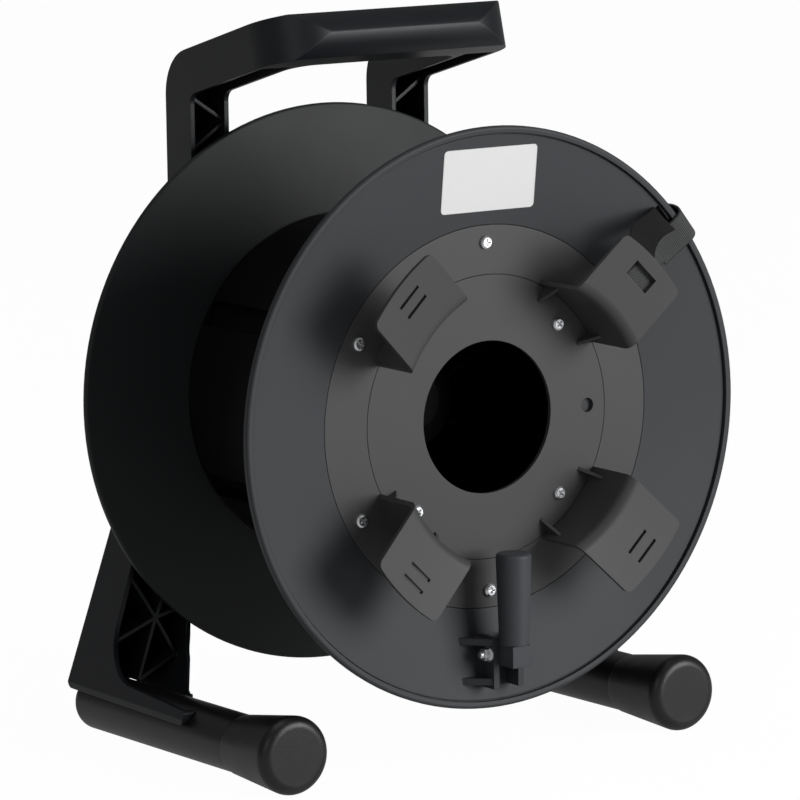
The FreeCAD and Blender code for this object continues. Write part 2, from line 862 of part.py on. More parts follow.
# ---------------------------------------------------------------------------
# Crank
# ---------------------------------------------------------------------------
def make_crank_block():
    """The square block between the cheeks, with the grip's spindle standing on it."""
    body = new_body("crank_block")
    half = size("block_width") / 2
    back = -size("pivot_reach") + size("block_height") / 2
    bottom = -pivot_drop - size("block_height") / 2
    outline = sketch_on(body, "XY_Plane", bottom)
    draw_outline(outline, [
        (-half, back), (half, back), (half, back - "block_length"), (-half, back - "block_length"),
    ])
    extrude(body, "Pad", outline, "block_height")
    spindle = sketch_on(body, "XY_Plane", bottom + "block_height" - 1)
    draw_circle(spindle, 0, -size("pivot_reach") - "grip_offset", "spindle_radius")
    extrude(body, "Pad", spindle, size("grip_length") * 0.75)
    pivot = sketch_on(body, "YZ_Plane")
    draw_circle(pivot, -size("pivot_reach"), -pivot_drop, size("pivot_radius") + "running_gap")
    cut_through(body, pivot, size("block_width") * 3)
    lift_to_axle(body)
    return body


def make_grip():
    """The tapered knob that turns on the spindle."""
    body = new_body("crank_grip")
    low = -pivot_drop + size("block_height") / 2 + "seat_gap"
    bore = size("spindle_radius") + "running_gap"
    sketch = sketch_on(body, "XY_Plane", low)
    draw_circle(sketch, 0, 0, "grip_low_radius")
    top = sketch_on(body, "XY_Plane", low + "grip_length")
    draw_circle(top, 0, 0, "grip_top_radius")
    loft = body.newObject("PartDesign::AdditiveLoft", "crank_grip_taper")
    loft.Profile = sketch
    loft.Sections = [top]
    doc.recompute()
    hollow = sketch_on(body, "XY_Plane", low)
    draw_circle(hollow, 0, 0, bore)
    extrude(body, "Pocket", hollow, size("grip_length") * 0.75, reverse=True)
    height = (low + "grip_length").number

    def top_rim(edge):
        curve = edge.Curve
        return isinstance(curve, Part.Circle) and abs(curve.Center.z - height) < 0.05

    soften(body, 2.4, top_rim)
    body.setExpression("Placement.Base.y", (-size("pivot_reach") - "grip_offset").text)
    lift_to_axle(body)
    return body


def make_pivot_hardware():
    """The crank's bolt along X, with a washer and a nut on its left end."""
    outside = size("block_width") / 2 + "seat_gap" + "cheek_wall"
    turn = Rotation(UP, -90)
    place = Vector(0, -number("pivot_reach"), number(axle_height) - number(pivot_drop))
    bolt = new_body("pivot_bolt")
    tip = -outside - 7.6
    turned(bolt, [
        (0, outside + 3), (3.4, outside + 3), (4.6, outside + 1.6), (4.6, outside),
        (size("pivot_radius"), outside), (size("pivot_radius"), tip + 0.6),
        (size("pivot_radius") - 0.6, tip), (0, tip),
    ])
    washer = new_body("pivot_washer")
    turned(washer, [
        (size("pivot_radius") + "running_gap", -outside),
        (5.4, -outside),
        (5.4, -outside - 1),
        (size("pivot_radius") + "running_gap", -outside - 1),
    ])
    nut = new_body("pivot_nut")
    outline = sketch_on(nut, "XZ_Plane", outside + 1)
    corner_reach = 4.4
    draw_outline(outline, [
        (corner_reach * math.cos(math.radians(60 * index)), corner_reach * math.sin(math.radians(60 * index)))
        for index in range(6)
    ])
    extrude(nut, "Pad", outline, 4)
    bore = sketch_on(nut, "XZ_Plane", outside + 1)
    draw_circle(bore, 0, 0, size("pivot_radius") + "running_gap")
    cut_through(nut, bore, 12)
    for body in (bolt, washer, nut):
        body.Placement = Placement(place, turn)
    return [bolt, washer, nut]


# ---------------------------------------------------------------------------
# Axle hardware on the stand
# ---------------------------------------------------------------------------
def make_axle_washer():
    """The washer that keeps the drum on the journal."""
    body = new_body("axle_washer")
    back = washer_seat - "seat_gap"
    turned(body, [
        (size("screw_radius") * 2 + "running_gap", back),
        (size("washer_radius"), back),
        (size("washer_radius"), back - "washer_wall"),
        (size("screw_radius") * 2 + "running_gap", back - "washer_wall"),
    ])
    lift_to_axle(body)
    return body


def make_axle_screw():
    """The screw through the washer into the journal's end."""
    body = new_body("axle_screw")
    seat = washer_seat - "seat_gap" - "washer_wall"
    shank = size("screw_radius") * 2
    turned(body, [
        (0, seat + 24), (shank, seat + 24), (shank, seat), (shank * 1.9, seat),
        (shank * 1.9, seat - 3), (shank * 1.5, seat - 4), (0, seat - 4),
    ])
    lift_to_axle(body)
    return body


# ---------------------------------------------------------------------------
# Stand
# ---------------------------------------------------------------------------
def stand_side_outline(inset):
    """The stand seen from the side: arm, rail and foot in one C. Inset moves the back and the top
    in, and leaves the front open, which gives the channel inside."""
    rise = math.tan(math.radians(number("arm_rise")))
    upright = math.cos(math.radians(number("arm_rise")))
    front = number("rail_front")
    back = front + number("rail_depth") - inset
    axle = number(axle_height)
    top_at_front = axle + number(arm_top) - inset / upright
    under_at_front = axle + number(arm_top) - number("arm_depth") / upright
    reach = -number("grip_bar_bulge") - 30
    heel = number("heel_back") - inset
    seam = number("seam_height")
    toe = 0.0

    def top(place):
        return top_at_front + (front - place) * rise

    def under(place):
        return under_at_front + (front - place) * rise

    if inset:
        return [
            (Vector(0, back, top(back)), max(33 - inset, 2)),
            (Vector(0, number("grip_bar_front") + number("grip_bar_depth"),
                    top(number("grip_bar_front") + number("grip_bar_depth"))), 6),
            (Vector(0, number("grip_bar_front") + number("grip_bar_depth"), seam + 70), 0),
            (Vector(0, toe + inset, seam + 70), 0),
            (Vector(0, toe + inset, seam - 6), 0),
            (Vector(0, heel, seam - 6), 0),
            (Vector(0, heel, seam), 0),
            (Vector(0, back, axle), 0),
        ]
    return [
        (Vector(0, back, top(back)), 33),
        (Vector(0, reach, top(reach)), 0),
        (Vector(0, reach, under(reach)), 0),
        (Vector(0, front, under(front)), 8),
        (Vector(0, front, seam + 15), 36),
        (Vector(0, toe, seam + 9.5), 2.5),
        (Vector(0, toe, seam), 3),
        (Vector(0, heel, seam), 5),
        (Vector(0, back, axle), 60),
    ]


def stand_front_outline(inset, saddle):
    """The right rail and leg seen from the front, from the seam with the foot up to the handle."""
    outer = number("rail_outer")
    inner = outer - number("rail_width")
    half_saddle = number("tube_radius") + number("seat_gap") + saddle
    centre = number("foot_centre")
    seam = number("seam_height")
    top = number(axle_height) + number(arm_top) + 60
    bottom = seam if not inset else seam - 6
    inner_foot = centre - number("foot_inset") + inset
    ankle = centre - number("ankle_inset") + inset
    return [
        (Vector(inner + inset, 0, top), 0),
        (Vector(outer - inset, 0, top), 0),
        (Vector(outer - inset, 0, number("knee_height")), 60),
        (Vector(centre + half_saddle, 0, bottom + 4), 0),
        (Vector(centre + half_saddle, 0, bottom), 0),
        (Vector(inner_foot, 0, bottom), 0),
        (Vector(inner_foot, 0, bottom + 3), 0),
        (Vector(ankle, 0, number("ankle_height")), 30),
        (Vector(inner + inset, 0, number("inner_knee_height")), 60),
    ]


def handle_outline(inset, closed):
    """The handle seen square to its sloping plane: two arms and a bar with swept corners. The
    plane's own axes are X and the distance forward from the rails' front face."""
    outer = number("rail_outer") - inset
    inner = number("rail_outer") - number("rail_width") + inset
    stretch = 1 / math.cos(math.radians(number("arm_rise")))
    front = number("rail_front")
    bar = (front - number("grip_bar_front")) * stretch
    crest = bar + number("grip_bar_bulge")
    rear = bar - number("grip_bar_depth")
    tail = -number("rail_depth") * stretch - 20
    if closed:
        return [
            (Vector(-outer, tail, 0), 0),
            (Vector(-outer, crest, 0), number("corner_sweep")),
            (Vector(outer, crest, 0), number("corner_sweep")),
            (Vector(outer, tail, 0), 0),
            (Vector(inner, tail, 0), 0),
            (Vector(inner, rear, 0), 16),
            (Vector(-inner, rear, 0), 16),
            (Vector(-inner, tail, 0), 0),
        ]
    return [
        (Vector(inner, tail, 0), 0),
        (Vector(outer, tail, 0), 0),
        (Vector(outer, rear, 0), 0),
        (Vector(inner, rear, 0), 0),
    ]


def handle_placement():
    """From the handle's own plane to the stand: +Y there runs forward and up the slope."""
    rise = math.radians(number("arm_rise"))
    forward = Vector(0, -math.cos(rise), math.sin(rise))
    normal = Vector(0, -math.sin(rise), -math.cos(rise))
    turn = Rotation(ACROSS, forward, normal, "ZYX")
    corner = Vector(0, number("rail_front"), number(axle_height) + number(arm_top))
    return Placement(corner, turn)


def make_handle():
    """The closed U of the handle, with its bar rounded to a crest in front."""
    depth = number("arm_depth")
    solid = slab(handle_outline(0, True), UP * depth)
    stretch = 1 / math.cos(math.radians(number("arm_rise")))
    bar = (number("rail_front") - number("grip_bar_front")) * stretch
    bulge = number("grip_bar_bulge")
    wide = number("rail_outer") * 2
    for face in (0, depth):
        middle = depth / 2
        start = Vector(-wide / 2, bar, face)
        crest = Vector(-wide / 2, bar + bulge, middle)
        lean = Vector(-wide / 2, bar + bulge * 0.66, face + (middle - face) * 0.42)
        beyond = Vector(-wide / 2, bar + bulge + 10, middle)
        outside = Vector(-wide / 2, bar + bulge + 10, face * 2 - middle)
        ledge = Vector(-wide / 2, bar, face * 2 - middle)
        wedge = Part.Wire([
            Part.Arc(start, lean, crest).toShape(),
            Part.LineSegment(crest, beyond).toShape(),
            Part.LineSegment(beyond, outside).toShape(),
            Part.LineSegment(outside, ledge).toShape(),
            Part.LineSegment(ledge, start).toShape(),
        ])
        solid = solid.cut(Part.Face(wedge).extrude(ACROSS * wide))
    solid.Placement = handle_placement()
    return solid


def rib_slab(start, end, wall, front, back):
    """A flat rib between two points of the front view, as deep as from front to back."""
    run = end - start
    side = Vector(-run.z, 0, run.x)
    side.normalize()
    side = side * (wall / 2)
    corners = [start + side, end + side, end - side, start - side]
    face = Part.Face(Part.makePolygon([Vector(c.x, front, c.z) for c in corners + [corners[0]]]))
    return face.extrude(Vector(0, back - front, 0))


def make_stand_side():
    """The right rail and leg, with its channel open to the front and diagonal ribs in it."""
    wall = number("rail_wall")
    deep = 400
    front_view = slab(
        [(point - Vector(0, 150, 0), radius) for point, radius in stand_front_outline(0, number("saddle_wall"))],
        Vector(0, deep, 0),
    )
    side_view = slab(stand_side_outline(0), ACROSS * 300)
    hollow_front = slab(
        [(point - Vector(0, 150, 0), radius) for point, radius in stand_front_outline(wall, 0)],
        Vector(0, deep, 0),
    )
    hollow_side = slab(stand_side_outline(wall), ACROSS * 300)
    axle = number(axle_height)
    front = number("rail_front")
    centre = number("foot_centre")
    beyond_arm = box_between(Vector(0, -200, axle + 150), Vector(200, front - 47, axle + 400))
    # The inner wall has no toe of its own: it is cut off along a slope above the foot tube, and
    # its lower edge reaches down beside the tube.
    seam = number("seam_height")
    inner_toe = slab([
        (Vector(0, -200, 0), 0),
        (Vector(0, front - 32, 0), 0),
        (Vector(0, front - 32, seam - 3), 0),
        (Vector(0, front - 5, seam + 32), 0),
        (Vector(0, -200, seam + 32), 0),
    ], ACROSS * (centre + 11))
    inner_foot = centre - number("foot_inset")
    hem = box_between(
        Vector(inner_foot, front - 32, seam - 8),
        Vector(inner_foot + wall, number("heel_back") - 5, seam + 1),
    )
    side = front_view.common(side_view).cut(beyond_arm).cut(inner_toe).fuse(hem)
    return side, hollow_front.common(hollow_side)


def make_stand():
    """The stand, moulded in one: two C-shaped sides, the handle, and the carrier for the axle."""
    wall = number("rail_wall")
    axle = number(axle_height)
    front = number("rail_front")
    side, hollow = make_stand_side()
    reach_of_arms = slab(handle_outline(wall, False), UP * (number("arm_depth") + 30))
    reach_of_arms.translate(UP * wall)
    reach_of_arms.Placement = handle_placement().multiply(reach_of_arms.Placement)
    handle = make_handle()
    envelope = slab(stand_side_outline(0), ACROSS * 400)
    envelope.translate(ACROSS * -200)
    handle = handle.common(envelope)

    outer = number("rail_outer")
    inner = outer - number("rail_width")
    centre = number("foot_centre")
    seam = number("seam_height")
    back = front + number("rail_depth")
    pitch = number("rib_pitch")
    turns = [Vector(outer if count % 2 == 0 else inner, 0, axle + 201 - pitch * count) for count in range(9)]
    turns += [
        Vector(inner, 0, axle + 8),
        Vector(outer + 28, 0, axle - 36),
        Vector(inner + 18, 0, axle - 72),
        Vector(centre - 8, 0, axle - 110),
    ]
    node = Vector(centre - 24, 0, axle - 150)
    star = [
        Vector(centre - 6, 0, axle - 121),
        Vector(centre + 6, 0, axle - 162),
        Vector(centre - 10, 0, axle - 191),
        Vector(centre - 43, 0, axle - 184),
        Vector(centre - 47, 0, axle - 144),
        Vector(centre - 36, 0, axle - 125),
    ]
    thin = number("rib_wall")
    ribs = [rib_slab(start, end, thin, front + 5, back) for start, end in zip(turns, turns[1:])]
    ribs += [rib_slab(node, end, thin, front + 1, back + 10) for end in star]
    ribs.append(rib_slab(star[3] + Vector(4, 0, 7), star[2], thin, front + 1, back + 10))
    network = ribs[0].multiFuse(ribs[1:])
    ribbed = network.common(hollow).common(side)

    right = side.cut(hollow).fuse(ribbed)
    left = right.mirror(ORIGIN, ACROSS)
    arms_left = reach_of_arms.mirror(ORIGIN, ACROSS)
    hollow_left = hollow.mirror(ORIGIN, ACROSS)
    handle = handle.cut(reach_of_arms).cut(arms_left).cut(hollow).cut(hollow_left)

    # Carrier: a dish between the rails, open to the back, with the journal standing on its front.
    radius = number("carrier_radius")
    depth = number("carrier_depth")
    skin = number("carrier_wall")
    rear_of_drum = number(rear_face) + number("seat_gap")
    dish_front = front + 3
    disc = Part.makeCylinder(radius, depth, Vector(0, dish_front, axle), ALONG)
    band = Part.makeBox(2 * (inner + 2), depth, 76, Vector(-inner - 2, dish_front, axle - 10))
    dish = disc.fuse(band)
    scoop = Part.makeCylinder(radius - skin, depth, Vector(0, dish_front + skin, axle), ALONG)
    band_scoop = Part.makeBox(
        2 * (inner - 1), depth, 76 - 2 * skin, Vector(-inner + 1, dish_front + skin, axle - 10 + skin)
    )
    dish = dish.cut(scoop.fuse(band_scoop))
    spokes = []
    for index in range(6):
        spoke = Part.makeBox(
            radius - 1, depth - 3, skin * 0.7, Vector(0, dish_front + 1, axle - skin * 0.35)
        )
        spoke.rotate(Vector(0, 0, axle), ALONG, 60 * index + 30)
        spokes.append(spoke)
    spoked = spokes[0].multiFuse(spokes[1:])
    collar = Part.makeCylinder(
        number("collar_radius"), dish_front + depth - 3 - rear_of_drum, Vector(0, rear_of_drum, axle), ALONG
    )
    journal_front = number(washer_seat) - number("seat_gap")
    journal = Part.makeCylinder(
        number("journal_radius"), rear_of_drum + 1 - journal_front, Vector(0, journal_front, axle), ALONG
    )
    carrier = dish.multiFuse([spoked, collar, journal])
    bore = number("journal_radius") - 5
    core_out = Part.makeCylinder(
        bore, dish_front + depth + 1 - (journal_front + 30), Vector(0, journal_front + 30, axle), ALONG
    )
    screw_bore = Part.makeCylinder(
        number("screw_radius") * 2 + number("running_gap"), 32, Vector(0, journal_front - 1, axle), ALONG
    )
    carrier = carrier.cut(core_out).cut(screw_bore)

    # Seats for the foot tubes.
    stand = right.multiFuse([left, handle, carrier])
    for side_sign in (-1, 1):
        stand = stand.cut(tube_envelope(side_sign, number("seat_gap")))
    return plain_part("stand", stand.removeSplitter())


# ---------------------------------------------------------------------------
# Feet
# ---------------------------------------------------------------------------
heel_contact = 130


def tube_placement(side_sign):
    """The tube's axis, level across and rising to the front so that heel and cap both stand."""
    tilt = math.radians(number("tube_tilt"))
    height = number("tube_radius") / math.cos(tilt) + heel_contact * math.tan(tilt)
    place = Vector(side_sign * number("foot_centre"), 0, height)
    return Placement(place, Rotation(ACROSS, -number("tube_tilt")))


def tube_envelope(side_sign, gap):
    """The room that a foot tube takes up in the stand."""
    length = number("tube_back") + gap + 60
    solid = Part.makeCylinder(number("tube_radius") + gap, length, Vector(0, -60, 0), ALONG)
    solid.Placement = tube_placement(side_sign)
    return solid


def make_foot_tube(label, side_sign):
    """A round tube, closed and rounded at the heel."""
    body = new_body(label)
    wall = size("tube_wall")
    back = size("tube_back")
    front = -size("cap_reach") + 8
    turned(body, [
        (size("tube_radius") - wall, front),
        (size("tube_radius"), front),
        (size("tube_radius"), back),
        (0, back),
        (0, back - wall * 2),
        (size("tube_radius") - wall, back - wall * 2),
    ])
    soften(body, "heel_round", ring_edge_at("tube_radius", back))
    body.Placement = tube_placement(side_sign)
    return body


def make_foot_cap(label, side_sign):
    """A flared rubber end that the tube stands on in front."""
    body = new_body(label)
    start = size("cap_back")
    end = -size("cap_reach")
    socket = size("tube_radius") + "running_gap"
    tilt = tangent("tube_tilt")
    axis_height = size("tube_radius") + (size(heel_contact) - end) * tilt
    rise = size("cap_radius") - axis_height
    small = sketch_on(body, "XZ_Plane", -start)
    draw_circle(small, 0, 0, socket + 0.6)
    large = sketch_on(body, "XZ_Plane", -end)
    draw_circle(large, 0, rise, "cap_radius")
    loft = body.newObject("PartDesign::AdditiveLoft", f"{label}_flare")
    loft.Profile = small
    loft.Sections = [large]
    loft.Ruled = True
    doc.recompute()
    bore = sketch_on(body, "XZ_Plane", -start)
    draw_circle(bore, 0, 0, socket)
    depth = start - end - 8 + "seat_gap"
    before = body.Shape.Volume
    extrude(body, "Pocket", bore, depth, reverse=True)
    if body.Shape.Volume > before - 10:
        raise RuntimeError(f"{label} has no socket")

    def front_rim(edge):
        curve = edge.Curve
        return isinstance(curve, Part.Circle) and abs(curve.Center.y - end.number) < 0.05

    soften(body, 7, front_rim)
    body.Placement = tube_placement(side_sign)
    return body


# ---------------------------------------------------------------------------
# Assembly and export
# ---------------------------------------------------------------------------
parts = [
    make_stand(),
    make_foot_tube("foot_tube_left", -1),
    make_foot_tube("foot_tube_right", 1),
    make_foot_cap("foot_cap_left", -1),
    make_foot_cap("foot_cap_right", 1),
    make_axle_washer(),
    make_axle_screw(),
    make_core(),
    make_rear_flange(),
    make_front_flange(),
    make_axle_cap(),
    make_hook_ring(),
    make_hub_cover(),
    make_label(),
    make_strap(),
    make_crank_block(),
    make_grip(),
]
parts += make_pivot_hardware()
for index in range(6):
    parts.append(make_screw(f"ring_screw_{index + 1}", "ring_screw_circle", 30 + 60 * index))
for index in range(4):
    parts.append(make_screw(f"cover_screw_{index + 1}", "cover_screw_circle", 45 + 90 * index))

doc.recompute()
for item in doc.Objects:
    if "Invalid" in item.State or "Error" in item.State:
        raise RuntimeError(f"{item.Label} failed: {item.State}")
os.makedirs("parts", exist_ok=True)
for part in parts:
    shape = part.Shape
    if shape.isNull() or not shape.isValid():
        raise RuntimeError(f"{part.Label} has no valid shape")
    shape.exportStep(f"parts/{part.Label}.step")
    print(f"{part.Label}: {len(shape.Solids)} solid, {shape.Volume / 1000:.1f} cm3")
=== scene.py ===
# %% [markdown]
# # An empty cable reel
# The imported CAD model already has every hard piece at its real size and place, so this script gives
# those pieces their finishes, models the one soft piece, the strap, and sets up a small studio.
# Everything is in metres, with +Z up and the crank side facing -Y.

# %% Load the frame
import json
import math
import bpy
from mathutils import Matrix, Vector


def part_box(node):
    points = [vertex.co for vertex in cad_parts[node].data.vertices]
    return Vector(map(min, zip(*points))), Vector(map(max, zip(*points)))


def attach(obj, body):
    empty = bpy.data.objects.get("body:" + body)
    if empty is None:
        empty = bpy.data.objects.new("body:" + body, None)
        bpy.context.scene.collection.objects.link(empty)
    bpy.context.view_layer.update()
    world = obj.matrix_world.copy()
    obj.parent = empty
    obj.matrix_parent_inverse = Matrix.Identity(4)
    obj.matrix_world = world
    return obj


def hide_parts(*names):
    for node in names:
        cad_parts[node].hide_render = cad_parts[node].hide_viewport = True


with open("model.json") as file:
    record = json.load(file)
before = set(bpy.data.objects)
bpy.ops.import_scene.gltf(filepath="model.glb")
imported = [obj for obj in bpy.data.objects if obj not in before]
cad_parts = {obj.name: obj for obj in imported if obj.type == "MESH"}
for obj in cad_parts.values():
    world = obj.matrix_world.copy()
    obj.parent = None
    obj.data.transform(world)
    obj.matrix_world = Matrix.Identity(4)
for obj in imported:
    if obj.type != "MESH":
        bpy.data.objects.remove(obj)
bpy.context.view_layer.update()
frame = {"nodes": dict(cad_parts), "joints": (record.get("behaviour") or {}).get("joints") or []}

nodes = frame["nodes"]

# %% [markdown]
# Places come from the frame itself. The axle's height is that of the drum's joint. The front of the
# hooks' lips is read from the box of the ring that carries them.

# %% Places on the reel
drum_joint = next(joint for joint in frame["joints"] if joint["name"] == "drum_spin")
axle_height = drum_joint["pos_m"][2]
axle = Vector((0, 0, axle_height))
lip_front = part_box("hook_ring")[0].y
print(f"axle {axle_height:.3f} m up, hook lips at {lip_front:.3f} m along Y")

# %% [markdown]
# Shader maths reads better as plain expressions. `Wire` holds a socket, and each operator on it adds
# one Math node. The reflected forms let a number come first, as in `1 - mask`.

# %% A socket that can be added and multiplied
class Wire:
    """An output socket of one material's node tree."""

    def __init__(self, tree, socket):
        self.tree = tree
        self.socket = socket

    def maths(self, operation, first, second=None):
        """One Math node on one or two values, each a number or a wire."""
        node = self.tree.nodes.new("ShaderNodeMath")
        node.operation = operation
        for slot, value in enumerate((first, second)):
            if isinstance(value, Wire):
                self.tree.links.new(value.socket, node.inputs[slot])
            elif value is not None:
                node.inputs[slot].default_value = value
        return Wire(self.tree, node.outputs[0])

    def __add__(self, other):
        return self.maths("ADD", self, other)

    def __radd__(self, other):
        return self.maths("ADD", other, self)

    def __sub__(self, other):
        return self.maths("SUBTRACT", self, other)

    def __rsub__(self, other):
        return self.maths("SUBTRACT", other, self)

    def __mul__(self, other):
        return self.maths("MULTIPLY", self, other)

    def __rmul__(self, other):
        return self.maths("MULTIPLY", other, self)

    def __truediv__(self, other):
        return self.maths("DIVIDE", self, other)

    def clamped(self):
        return self.maths("MINIMUM", self.maths("MAXIMUM", self, 0.0), 1.0)

    def wave(self):
        """The sine of this value, brought between 0 and 1."""
        return self.maths("SINE", self) * 0.5 + 0.5


# %% [markdown]
# `Finish` is one material. Its `node` method makes any node from its type, its settings and the
# values or wires of its sockets, so a recipe below is a short list of what changes over the surface.

# %% A material and its nodes
class Finish:
    """A procedural material built on the Principled shader."""

    def __init__(self, name):
        self.material = bpy.data.materials.new(name)
        self.material.use_nodes = True
        self.tree = self.material.node_tree
        self.shader = self.tree.nodes["Principled BSDF"]
        self.place = self.node("ShaderNodeTexCoord", "Object")

    def node(self, kind, output, settings=None, **inputs):
        """Any node, by its type. An underscore in a socket's name stands for a space."""
        made = self.tree.nodes.new(kind)
        for key, value in (settings or {}).items():
            setattr(made, key, value)
        for key, value in inputs.items():
            self.feed(made.inputs[key.replace("_", " ")], value)
        return Wire(self.tree, made.outputs[output])

    def feed(self, socket, value):
        """Links a wire to a socket, or sets a plain value on it."""
        if isinstance(value, Wire):
            self.tree.links.new(value.socket, socket)
        elif value is not None:
            socket.default_value = value

    def noise(self, scale, detail=2.0, roughness=0.5):
        """Noise whose scale counts features to the metre."""
        return self.node(
            "ShaderNodeTexNoise", "Fac",
            Vector=self.place, Scale=scale, Detail=detail, Roughness=roughness,
        )

    def ramp(self, value, low, high):
        """0 below low, 1 above high, and straight between."""
        return self.node("ShaderNodeMapRange", "Result", Value=value, From_Min=low, From_Max=high)

    def blend(self, factor, first, second):
        """A colour between two, each a colour or a wire."""
        factor_in, first_in, second_in, colour_out = 0, 6, 7, 2
        made = self.tree.nodes.new("ShaderNodeMix")
        made.data_type = "RGBA"
        self.feed(made.inputs[factor_in], factor)
        self.feed(made.inputs[first_in], first)
        self.feed(made.inputs[second_in], second)
        return Wire(self.tree, made.outputs[colour_out])

    def rounded(self, radius):
        """Normals bent round every edge, as a mould's small radius does."""
        return self.node("ShaderNodeBevel", "Normal", {"samples": 4}, Radius=radius)

    def edge_mask(self, soft_normal):
        """1 on sharp outer edges and 0 on flats, from how far the rounded normal has turned."""
        contrast = 6
        flat = self.node("ShaderNodeNewGeometry", "Normal")
        facing = self.node("ShaderNodeVectorMath", "Value", {"operation": "DOT_PRODUCT"})
        for socket, normal in zip(facing.socket.node.inputs, (soft_normal, flat)):
            self.feed(socket, normal)
        return ((1 - facing) * contrast).clamped()

    def bump(self, height, distance, normal=None):
        """Raised and sunk detail, with its depth in metres."""
        return self.node(
            "ShaderNodeBump", "Normal", Height=height, Distance=distance, Strength=1.0, Normal=normal,
        )

    def set(self, **values):
        """Feeds the main shader's sockets, named as in node."""
        for key, value in values.items():
            self.feed(self.shader.inputs[key.replace("_", " ")], value)


def tint(colour, share):
    """A colour made lighter or darker by a share."""
    return (*[channel * share for channel in colour], 1.0)


def paint(finish, *names):
    """Gives CAD pieces a finish in every one of their material slots."""
    for name in names:
        piece = nodes[name]
        if not piece.material_slots:
            piece.data.materials.append(finish.material)
        for slot in piece.material_slots:
            slot.material = finish.material
    print(f"{finish.material.name}: {', '.join(names)}")


# %% [markdown]
# Nearly everything here is injection-moulded plastic. Its mould was spark-eroded, which leaves a fine
# pebbled grain that breaks up reflections. The recipe has four layers: a broad cloudy change of tone
# from handling, the grain as bump, roughness that follows both, and a small radius on every edge,
# where a mould can't be perfectly sharp. The radius comes from a Bevel node, since the CAD
# mesh itself stays as it is. Every edge is a little glossier, and is painted lighter as a painted
# highlight.

# %% Moulded plastic
grain_depth = 0.00005


def moulded(name, colour, roughness=0.5, grain=900.0, radius=0.0007, edge_highlight=1.5, gloss=0.36):
    """Grained plastic. The argument after radius tells how many times lighter the painted highlight on
    every edge is.
    """
    finish = Finish(name)
    cloud = finish.noise(14.0, detail=4.0)
    pebble = finish.noise(grain, detail=3.0, roughness=0.6)
    scuffs = finish.ramp(finish.noise(160.0, detail=5.0, roughness=0.75), 0.60, 0.78)
    soft = finish.rounded(radius)
    edges = finish.edge_mask(soft)
    tone = finish.blend(cloud, tint(colour, 0.88), tint(colour, 1.12))
    speckled = finish.blend(pebble * 0.35, tone, tint(colour, 1.3))
    finish.set(
        # A painted highlight: the edge mask makes every edge lighter in colour.
        Base_Color=finish.blend(edges * 0.5, speckled, tint(colour, edge_highlight)),
        Roughness=(
            roughness + (cloud - 0.5) * 0.12 + (pebble - 0.5) * 0.10 + scuffs * 0.05 - edges * 0.06
        ),
        Normal=finish.bump(pebble, grain_depth, soft),
        Specular_IOR_Level=gloss,
    )
    return finish


stand_black = (0.0088, 0.0102, 0.0130)
flange_grey = (0.0350, 0.0372, 0.0420)
hub_grey = (0.0580, 0.0580, 0.0580)
rear_black = (0.0130, 0.0146, 0.0158)
# The core is black plastic, made darker still as painted shade deep between the two flanges.
core_black_and_shade = (0.0026, 0.0026, 0.0029)
crank_grey = tint(flange_grey, 1.45)[:3]

paint(moulded("stand_plastic", stand_black, 0.42, radius=0.0011, edge_highlight=2.0), "stand")
paint(moulded("flange_plastic", flange_grey, 0.52), "front_flange")
paint(moulded("crank_plastic", crank_grey, 0.50), "crank_block", "crank_grip")
paint(moulded("hub_plate", hub_grey, 0.50, grain=1100.0, radius=0.0005), "hook_ring", "hub_cover")
paint(moulded("rear_plastic", rear_black, 0.50, radius=0.0012, gloss=0.30), "rear_flange")
paint(moulded("core_plastic", core_black_and_shade, 0.46, gloss=0.18), "drum_core", "axle_cap")

# %% [markdown]
# The feet are drawn steel tube under a black stoved coat. Such a coat is smoother than the mould's
# grain, and has a long, shallow orange-peel ripple that shows only in its reflections.

# %% Coated foot tubes
tube_black = (0.0060, 0.0060, 0.0064)


def coated_steel(name, colour):
    """Smooth black coat with an orange-peel ripple."""
    finish = Finish(name)
    peel = finish.noise(260.0, detail=1.0)
    fine = finish.noise(1500.0, detail=2.0)
    cloud = finish.noise(11.0, detail=3.0)
    finish.set(
        Base_Color=finish.blend(cloud, tint(colour, 0.85), tint(colour, 1.2)),
        Roughness=0.34 + (cloud - 0.5) * 0.10 + (fine - 0.5) * 0.06,
        Normal=finish.bump(peel + fine * 0.2, 0.00006),
        Specular_IOR_Level=0.5,
    )
    return finish


paint(coated_steel("tube_coat", tube_black), "foot_tube_left", "foot_tube_right")

# %% [markdown]
# The caps on the tubes are rubber. Rubber scatters light broadly, shows a faint bloom, and picks up
# dust and rubbing where it meets the floor, so its lowest part is a little greyer and rougher.

# %% Rubber foot caps
cap_black = (0.0085, 0.0085, 0.0090)
dusty_height = 0.012


def rubber(name, colour):
    """Matt rubber with a bloom, dusty up to a height above the floor."""
    finish = Finish(name)
    height = finish.node("ShaderNodeSeparateXYZ", "Z", Vector=finish.place)
    near_floor = 1 - finish.ramp(height, 0.0, dusty_height)
    bloom = finish.noise(35.0, detail=5.0, roughness=0.65)
    pores = finish.noise(1300.0, detail=2.0)
    soft = finish.rounded(0.0015)
    dust = (near_floor * finish.ramp(bloom, 0.35, 0.7)).clamped()
    body = finish.blend(bloom, tint(colour, 0.8), tint(colour, 1.25))
    finish.set(
        Base_Color=finish.blend(dust * 0.6, body, tint(colour, 3.2)),
        Roughness=0.36 + (bloom - 0.5) * 0.14 + dust * 0.2,
        Normal=finish.bump(pores, 0.00006, soft),
        Specular_IOR_Level=0.45,
    )
    return finish


paint(rubber("cap_rubber", cap_black), "foot_cap_left", "foot_cap_right")

# %% [markdown]
# Screws, bolt, nut and washers are zinc-plated steel: bright, with a slightly blue cast, a satin grain
# from the barrel they were tumbled in, and duller patches where the plating is thin.

# %% Zinc plating
zinc_dull = (0.66, 0.68, 0.70, 1)
zinc_bright = (0.83, 0.84, 0.85, 1)


